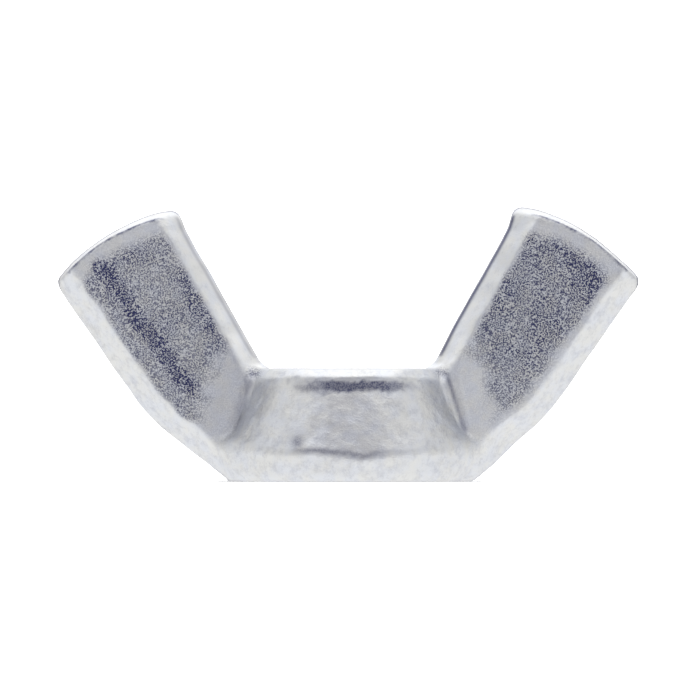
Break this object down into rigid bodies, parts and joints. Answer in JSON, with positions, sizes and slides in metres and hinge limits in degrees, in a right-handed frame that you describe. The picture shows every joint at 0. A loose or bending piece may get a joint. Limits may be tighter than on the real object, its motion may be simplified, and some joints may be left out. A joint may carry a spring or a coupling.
{
  "type": "wing nut",
  "caption": "Forged wing nut with a conical boss, a tapped through hole and two splayed wings with flat faces, bevelled edges and domed ends.",
  "frame": {"origin": "centre of the bearing face, on the thread's axis", "axes": "+Z along the thread's axis from the bearing face towards the wings' ends, +X along the spread of the wings, +Y through the wings' thickness"},
  "size_m": [0.0304, 0.0138, 0.0143],
  "materials": {
    "zinc_plated_steel": "cold forged, bright zinc plated and clear passivated"
  },
  "bodies": {
    "root": {"wing_nut_body": "zinc_plated_steel"}
  },
  "joints": []
}
